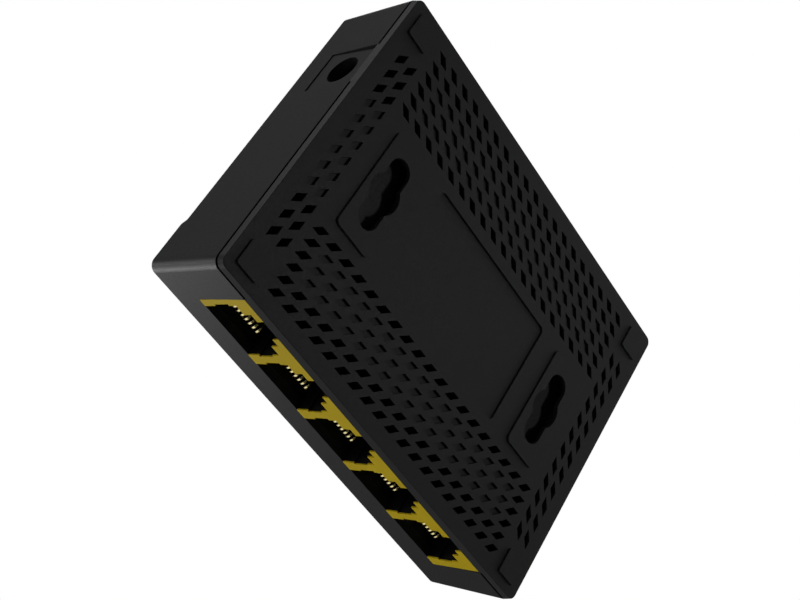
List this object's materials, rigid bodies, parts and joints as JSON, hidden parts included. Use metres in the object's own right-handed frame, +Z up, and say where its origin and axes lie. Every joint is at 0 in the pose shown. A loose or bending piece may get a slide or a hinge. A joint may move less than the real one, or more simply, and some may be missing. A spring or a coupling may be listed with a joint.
{
  "type": "ethernet switch",
  "caption": "Small desktop network switch: two-part plastic case, ganged modular sockets along one side, round power inlet on the end, vented underside with wall keyholes.",
  "frame": {"origin": "centre of the footprint, on the surface that the switch rests on", "axes": "+Z up from the underside, -Y out of the network sockets, +X out of the power inlet"},
  "size_m": [0.089, 0.0634, 0.0202],
  "materials": {
    "case": "fine texture, satin",
    "board": "solder mask",
    "screws": "zinc plated",
    "socket_plastic": "moulded, semi-matte",
    "sheet_plastic": "thin film",
    "contact_metal": "gold plated",
    "jack_plastic": "moulded, semi-matte",
    "pin_metal": "nickel plated",
    "spring_metal": "tin plated",
    "chip_plastic": "moulded",
    "sink_metal": "extruded, satin",
    "can_metal": "bright",
    "ceramic": "fired ceramic",
    "light_plastic": "clear epoxy",
    "guide_plastic": "clear moulded"
  },
  "bodies": {
    "root": {"bottom_cover": "case", "top_cover": "case", "circuit_board": "board", "board_screws": "screws", "socket_block": "socket_plastic", "insulating_sheet": "sheet_plastic", "contacts_1": "contact_metal", "contacts_2": "contact_metal", "contacts_3": "contact_metal", "contacts_4": "contact_metal", "contacts_5": "contact_metal", "power_jack": "jack_plastic", "power_pin": "pin_metal", "power_spring": "spring_metal", "switch_chip": "chip_plastic", "heat_sink": "sink_metal", "line_coils": "chip_plastic", "capacitor_cans": "can_metal", "power_coil": "chip_plastic", "voltage_regulator": "chip_plastic", "timing_crystal": "can_metal", "memory_chip": "chip_plastic", "chip_parts": "ceramic", "indicator_lights": "light_plastic", "light_guide": "guide_plastic"}
  },
  "joints": []
}
